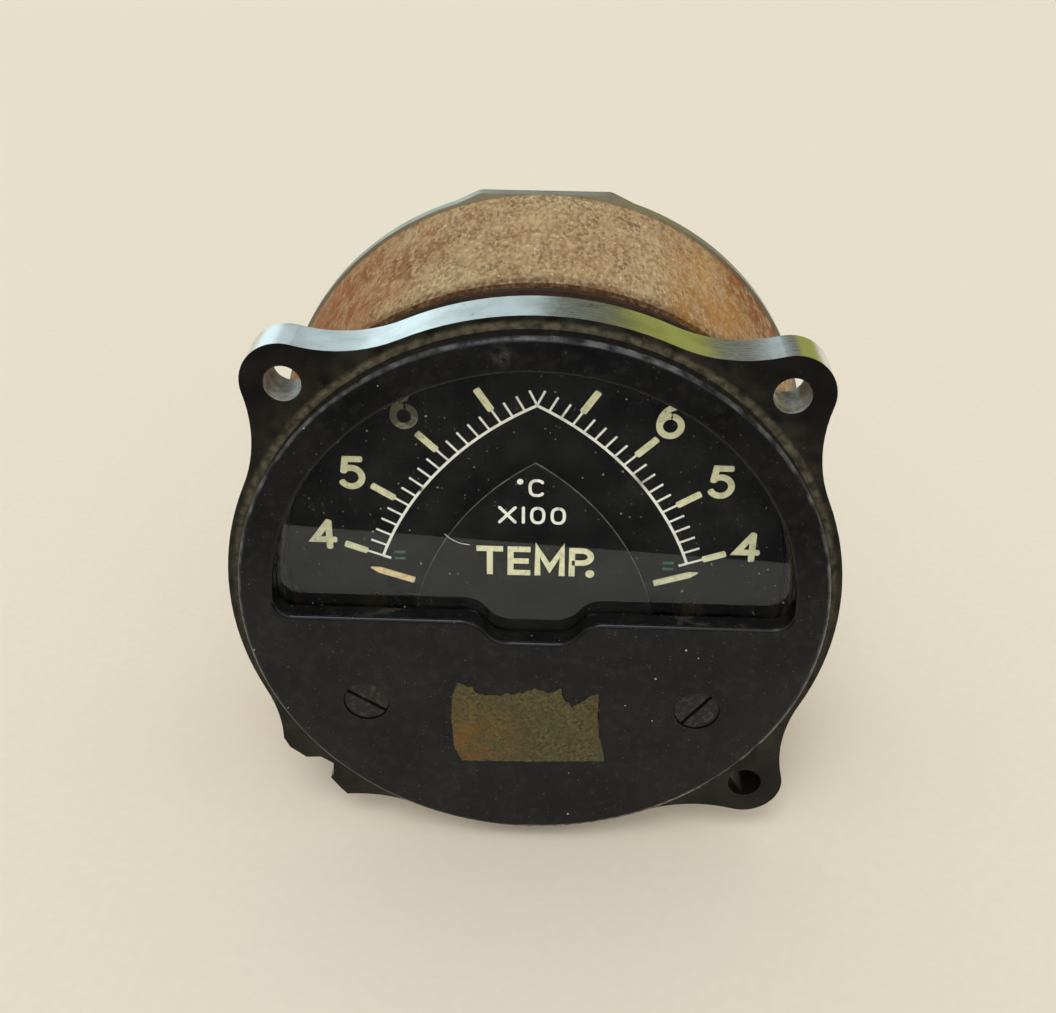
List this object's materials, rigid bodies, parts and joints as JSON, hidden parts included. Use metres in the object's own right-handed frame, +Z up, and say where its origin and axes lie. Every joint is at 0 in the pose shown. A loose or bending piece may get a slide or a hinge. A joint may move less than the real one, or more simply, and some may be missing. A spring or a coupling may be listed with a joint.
{
  "type": "exhaust temperature gauge",
  "caption": "Round aircraft panel instrument with a half-round window, crossed pointers over mirrored temperature scales, zero adjusters, a steel shield ring and rear terminals.",
  "frame": {"origin": "centre of the mounting flange's front face, on the case axis", "axes": "-Y out of the dial towards the reader, +Z up on the dial, +X to the reader's right"},
  "size_m": [0.0842, 0.0679, 0.0838],
  "materials": {
    "cover_black": "satin black, worn at the edge",
    "flange_metal": "machined edge under a black painted face",
    "glass": "clear, dusty",
    "rubber": "matt",
    "spring_steel": "plain",
    "case_black": "matt black",
    "shield_steel": "rust-speckled plated steel sheet",
    "rear_aluminium": "satin turned",
    "phenolic": "moulded, dark",
    "plated_steel": "plated",
    "brass_parts": "turned",
    "dial_black": "matt black with cream figures",
    "chassis_metal": "sheet",
    "magnet_steel": "ground magnet steel",
    "soft_iron": "plated",
    "bridge_brass": "stamped",
    "pointer_paint": "black shaft with cream tip",
    "coil_wire": "enamelled copper wire",
    "staff_steel": "polished",
    "hairspring_bronze": "rolled strip",
    "screw_black": "black with worn edges",
    "clip_steel": "plain"
  },
  "bodies": {
    "gauge_case": {"bridge_posts": "brass_parts", "bridge_screws": "plated_steel", "case_body": "case_black", "centre_plate": "dial_black", "centre_plate_posts": "brass_parts", "centre_plate_screws": "plated_steel", "chassis_pillars": "brass_parts", "chassis_plate": "chassis_metal", "chassis_screws": "plated_steel", "core_brackets": "brass_parts", "dial_posts": "brass_parts", "dial_screws": "brass_parts", "flange_screws": "plated_steel", "front_cover": "cover_black", "glass_gasket": "rubber", "glass_retaining_ring": "spring_steel", "jewel_screws": "brass_parts", "left_scale_core": "soft_iron", "left_scale_front_bridge": "bridge_brass", "left_scale_magnet": "magnet_steel", "left_scale_pole_pieces": "soft_iron", "left_scale_rear_bridge": "bridge_brass", "main_dial": "dial_black", "mounting_flange": "flange_metal", "pole_posts": "brass_parts", "rear_plate": "rear_aluminium", "rear_plate_screws": "plated_steel", "right_scale_core": "soft_iron", "right_scale_front_bridge": "bridge_brass", "right_scale_magnet": "magnet_steel", "right_scale_pole_pieces": "soft_iron", "right_scale_rear_bridge": "bridge_brass", "shield_ring": "shield_steel", "terminal_block": "phenolic", "terminal_nuts": "brass_parts", "terminal_studs": "brass_parts", "terminal_washers": "plated_steel", "window_glass": "glass"},
    "left_scale_movement": {"left_scale_pointer": "pointer_paint", "left_scale_coil": "coil_wire", "left_scale_staffs": "staff_steel", "left_scale_balance_arms": "staff_steel", "left_scale_balance_weights": "staff_steel", "left_scale_front_hairspring": "hairspring_bronze", "left_scale_rear_hairspring": "hairspring_bronze"},
    "left_scale_lever": {"left_scale_zero_lever": "bridge_brass"},
    "left_scale_screw": {"left_scale_zero_screw": "screw_black", "left_scale_zero_screw_clip": "clip_steel"},
    "right_scale_movement": {"right_scale_pointer": "pointer_paint", "right_scale_coil": "coil_wire", "right_scale_staffs": "staff_steel", "right_scale_balance_arms": "staff_steel", "right_scale_balance_weights": "staff_steel", "right_scale_front_hairspring": "hairspring_bronze", "right_scale_rear_hairspring": "hairspring_bronze"},
    "right_scale_lever": {"right_scale_zero_lever": "bridge_brass"},
    "right_scale_screw": {"right_scale_zero_screw": "screw_black", "right_scale_zero_screw_clip": "clip_steel"}
  },
  "joints": [
    {"name": "left_scale_pointer_swing", "type": "hinge", "parent": "gauge_case", "child": "left_scale_movement", "pos_m": [0.01866, 0, -0.01132], "axis": [0, 1, 0], "range_deg": [0, 47.5], "stiffness_Nm_per_rad": 0.00002},
    {"name": "left_scale_zero_turn", "type": "hinge", "parent": "gauge_case", "child": "left_scale_screw", "pos_m": [0.0231, 0, -0.0163], "axis": [0, 1, 0], "range_deg": [-30, 30]},
    {"name": "left_scale_lever_turn", "type": "hinge", "parent": "gauge_case", "child": "left_scale_lever", "pos_m": [0.01866, 0, -0.01132], "axis": [0, 1, 0], "range_deg": [-3.5, 3.5]},
    {"name": "right_scale_pointer_swing", "type": "hinge", "parent": "gauge_case", "child": "right_scale_movement", "pos_m": [-0.01866, 0, -0.01132], "axis": [0, -1, 0], "range_deg": [0, 47.5], "stiffness_Nm_per_rad": 0.00002},
    {"name": "right_scale_zero_turn", "type": "hinge", "parent": "gauge_case", "child": "right_scale_screw", "pos_m": [-0.0231, 0, -0.0163], "axis": [0, -1, 0], "range_deg": [-30, 30]},
    {"name": "right_scale_lever_turn", "type": "hinge", "parent": "gauge_case", "child": "right_scale_lever", "pos_m": [-0.01866, 0, -0.01132], "axis": [0, -1, 0], "range_deg": [-3.5, 3.5]}
  ],
  "couplings": [
    {"joint": "left_scale_lever_turn", "follows": "left_scale_zero_turn", "ratio": 0.105},
    {"joint": "right_scale_lever_turn", "follows": "right_scale_zero_turn", "ratio": 0.105}
  ]
}
